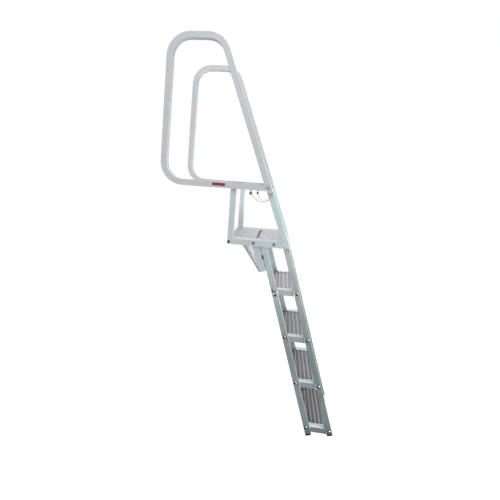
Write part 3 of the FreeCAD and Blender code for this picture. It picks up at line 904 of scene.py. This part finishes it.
def welds(name, body, lines, material, radius):
    """One object with a bead along each line, given by its two ends."""
    mesh = bpy.data.meshes.new(name)
    mesh.from_pydata(
        [end for line in lines for end in line],
        [(2 * index, 2 * index + 1) for index in range(len(lines))],
        [],
    )
    piece = bpy.data.objects.new(name, mesh)
    bpy.context.scene.collection.objects.link(piece)
    modifier = piece.modifiers.new("beads", "NODES")
    modifier.node_group = WELD_BEADS
    set_inputs(modifier, drop_radius=radius, drop_step=WELD_STEP, material=material)
    plain_mesh(piece)
    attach(piece, body)
    return piece


def back_x(height, offset=0.0):
    """X of the sloping line of strut and loop at a height, as in the CAD."""
    return BACK_LEG_X + offset - math.tan(math.radians(BACK_LEAN)) * height


def ladder_x(height, offset=0.0):
    """X of the ladder's water-side line at a height, as in the CAD."""
    corner = back_x(RAIL_UNDER, BACK_WIDE) - LADDER_SETBACK
    return corner - offset - math.tan(math.radians(LADDER_LEAN)) * (height - RAIL_UNDER)


WELD_BEADS = weld_tree()
FRAME_WELD = 0.0015
LADDER_WELD = 0.0028
WELD_STEP = 0.0022
TUBE = 0.038
BACK_LEG_X = 0.228
BACK_WIDE = TUBE / math.cos(math.radians(BACK_LEAN))
RAIL_UNDER = -0.356
RAIL_OVER = RAIL_UNDER + TUBE
LADDER_SETBACK = 0.008
LADDER_DEPTH = 0.187
STRINGER_WIDE = TUBE / math.cos(math.radians(LADDER_LEAN))
FIRST_RUNG = -0.671
# Paler than the tubes: painted highlight on the beads.
weld_metal = anodised("bright_weld_metal", "#eef0f0", "#d9dcdc", 0.4, foot=FOOT_SHADE_TONE)
for side in ("left", "right"):
    loop_faces = [inboard_of(side, offset) for offset in (-TUBE / 2, TUBE / 2)]
    welds(
        side + "_loop_welds",
        "handrails",
        [((back_x(TUBE), y, TUBE), (back_x(0), y, 0)) for y in loop_faces],
        weld_metal,
        FRAME_WELD,
    )
    frame_faces = [inboard_of(side, offset) for offset in (RAIL_FACE, RAIL_FACE + TUBE)]
    frame_lines = [((TUBE, frame_faces[0], RAIL_OVER), (TUBE, frame_faces[1], RAIL_OVER))]
    for y in frame_faces:
        frame_lines.append(((TUBE, y, RAIL_UNDER), (TUBE, y, RAIL_OVER)))
        frame_lines.append(
            ((back_x(RAIL_OVER), y, RAIL_OVER), (back_x(RAIL_UNDER, BACK_WIDE), y, RAIL_UNDER))
        )
    welds(
        side + "_frame_welds", "swing_ladder", frame_lines, weld_metal, FRAME_WELD
    )
    near, far = (inboard_of(side, offset) for offset in (LADDER_FACE, LADDER_FACE + TUBE))
    ladder_lines = []
    for index in range(STEP_COUNT):
        under = FIRST_RUNG + index * STEP_SHIFT[1]
        over = under + TUBE
        for offset in (STRINGER_WIDE, LADDER_DEPTH - STRINGER_WIDE):
            low_x, high_x = ladder_x(under, offset), ladder_x(over, offset)
            ladder_lines.append(((low_x, near, under), (high_x, near, over)))
            ladder_lines.append(((high_x, near, over), (high_x, far, over)))
    for low, high in ((0.0, STRINGER_WIDE), (LADDER_DEPTH - STRINGER_WIDE, LADDER_DEPTH)):
        ladder_lines.append(
            (
                (ladder_x(RAIL_UNDER, high), near, RAIL_UNDER),
                (ladder_x(RAIL_UNDER, low), near, RAIL_UNDER),
            )
        )
    welds(
        side + "_ladder_welds", "swing_ladder", ladder_lines, weld_metal, LADDER_WELD
    )


# Treads: extruded aluminium planks with rounded grip ribs along their length, four on
# a step and more on the platform, and fine serrations between them.  The edges that face
# each other across the platform's gap are darkened as painted shade.
def rib_tree():
    """Equal flattened bars side by side along X, each lying along Y."""
    tree = bpy.data.node_groups.new("grip_ribs", "GeometryNodeTree")
    for name in ("Pitch", "Rib Wide", "Rib Rise", "Rib Long"):
        tree.interface.new_socket(name, in_out="INPUT", socket_type="NodeSocketFloat")
    tree.interface.new_socket("Count", in_out="INPUT", socket_type="NodeSocketInt")
    tree.interface.new_socket("Start", in_out="INPUT", socket_type="NodeSocketVector")
    tree.interface.new_socket("Material", in_out="INPUT", socket_type="NodeSocketMaterial")
    tree.interface.new_socket("Geometry", in_out="OUTPUT", socket_type="NodeSocketGeometry")
    given = add(tree, "NodeGroupInput").outputs
    gap = add(tree, "ShaderNodeCombineXYZ", {0: given["Pitch"]})
    row = add(
        tree,
        "GeometryNodeMeshLine",
        {"Count": given["Count"], "Start Location": given["Start"], "Offset": gap.outputs[0]},
        mode="OFFSET",
    )
    bar = add(tree, "GeometryNodeMeshCylinder", {"Vertices": 16, "Radius": 0.5, "Depth": 1.0})
    laid = add(
        tree,
        "GeometryNodeTransform",
        {"Geometry": bar.outputs["Mesh"], "Rotation": (math.pi / 2, 0, 0)},
    )
    size = add(
        tree,
        "ShaderNodeCombineXYZ",
        {0: given["Rib Wide"], 1: given["Rib Long"], 2: given["Rib Rise"]},
    )
    shaped = add(
        tree, "GeometryNodeTransform", {"Geometry": laid.outputs[0], "Scale": size.outputs[0]}
    )
    placed = add(
        tree,
        "GeometryNodeInstanceOnPoints",
        {"Points": row.outputs["Mesh"], "Instance": shaped.outputs[0]},
    )
    real = add(tree, "GeometryNodeRealizeInstances", {"Geometry": placed.outputs[0]})
    painted = add(
        tree,
        "GeometryNodeSetMaterial",
        {"Geometry": real.outputs[0], "Material": given["Material"]},
    )
    add(tree, "NodeGroupOutput", {0: painted.outputs[0]})
    return tree


GRIP_RIBS = rib_tree()


def ribs(name, low_x, high_x, top, long, pitch, wide, rise, material):
    """Grip ribs centred between two X values on a tread's top."""
    count = max(1, int((high_x - low_x - wide) / pitch) + 1)
    first = (low_x + high_x - (count - 1) * pitch) / 2
    piece = bpy.data.objects.new(name, bpy.data.meshes.new(name))
    bpy.context.scene.collection.objects.link(piece)
    modifier = piece.modifiers.new("ribs", "NODES")
    modifier.node_group = GRIP_RIBS
    set_inputs(
        modifier,
        pitch=pitch,
        rib_wide=wide,
        rib_rise=2 * rise,
        rib_long=long,
        count=count,
        start=(first, SPAN / 2, top),
        material=material,
    )
    plain_mesh(piece)
    piece.data.shade_smooth()
    piece.data.set_sharp_from_angle(angle=math.radians(50))
    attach(piece, "swing_ladder")
    return piece


RIB_PITCH = 0.0275
RIB_WIDE = 0.012
RIB_RISE = 0.0042
PLATFORM_RIB_RISE = 0.0022
SERRATION_PITCH = 0.0045
SERRATION_WIDE = 0.0018
SERRATION_RISE = 0.0007
END_MARGIN = 0.002
SIDE_MARGIN = 0.003
TREAD_FOOT_SHADE_TONE = "#b4b4b4"
tread_skin = anodised(
    "ribbed_step_aluminium", "#b1afb3", "#96949a", 0.45, (90, 0, 0), foot=TREAD_FOOT_SHADE_TONE
)
platform_skin = anodised("ribbed_platform_aluminium", "#b0aeb2", "#9b999e", 0.45, (90, 0, 0))
# Rib crowns coloured paler than the plank: painted highlight.
rib_skin = anodised("worn_rib_tops", "#e4e2e6", "#cdcbd0", 0.45, (90, 0, 0), foot=TREAD_FOOT_SHADE_TONE)
GAP_REACH = 0.006
# Painted shade for the tread flanges that face each other across the gap.
gap_shade = anodised("grimy_gap_edge", "#6a6a6c", "#565759", 0.6, (90, 0, 0))
# Fainter painted highlight on step 1's ribs.
first_rib_skin = anodised("unworn_rib_tops", "#c6c4c8", "#b0aeb2", 0.5, (90, 0, 0))
RIB_SKINS = {
    "dockside_tread": platform_skin,
    "waterside_tread": platform_skin,
    "step_1": first_rib_skin,
}
TREADS = ["dockside_tread", "waterside_tread"] + [
    f"step_{index + 1}" for index in range(STEP_COUNT)
]
for node in TREADS:
    low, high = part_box(node)
    is_step = node.startswith("step")
    plate = tread_skin if is_step else platform_skin
    tread = finished(node, "swing_ladder", plate, 0.0012)
    if not is_step:
        gap_x = high[0] if node.startswith("dock") else low[0]
        tread.data.materials.append(gap_shade)
        for face in tread.data.polygons:
            if abs(face.normal.x) > 0.7 and abs(face.center.x - gap_x) < GAP_REACH:
                face.material_index = 1
    long = high[1] - low[1] - 2 * END_MARGIN
    spread = (low[0] + SIDE_MARGIN, high[0] - SIDE_MARGIN, high[2], long)
    ribs(
        node + "_ribs",
        *spread,
        RIB_PITCH,
        RIB_WIDE,
        RIB_RISE if is_step else PLATFORM_RIB_RISE,
        RIB_SKINS.get(node, rib_skin),
    )
    ribs(
        node + "_serrations",
        *spread,
        SERRATION_PITCH,
        SERRATION_WIDE,
        SERRATION_RISE,
        plate,
    )
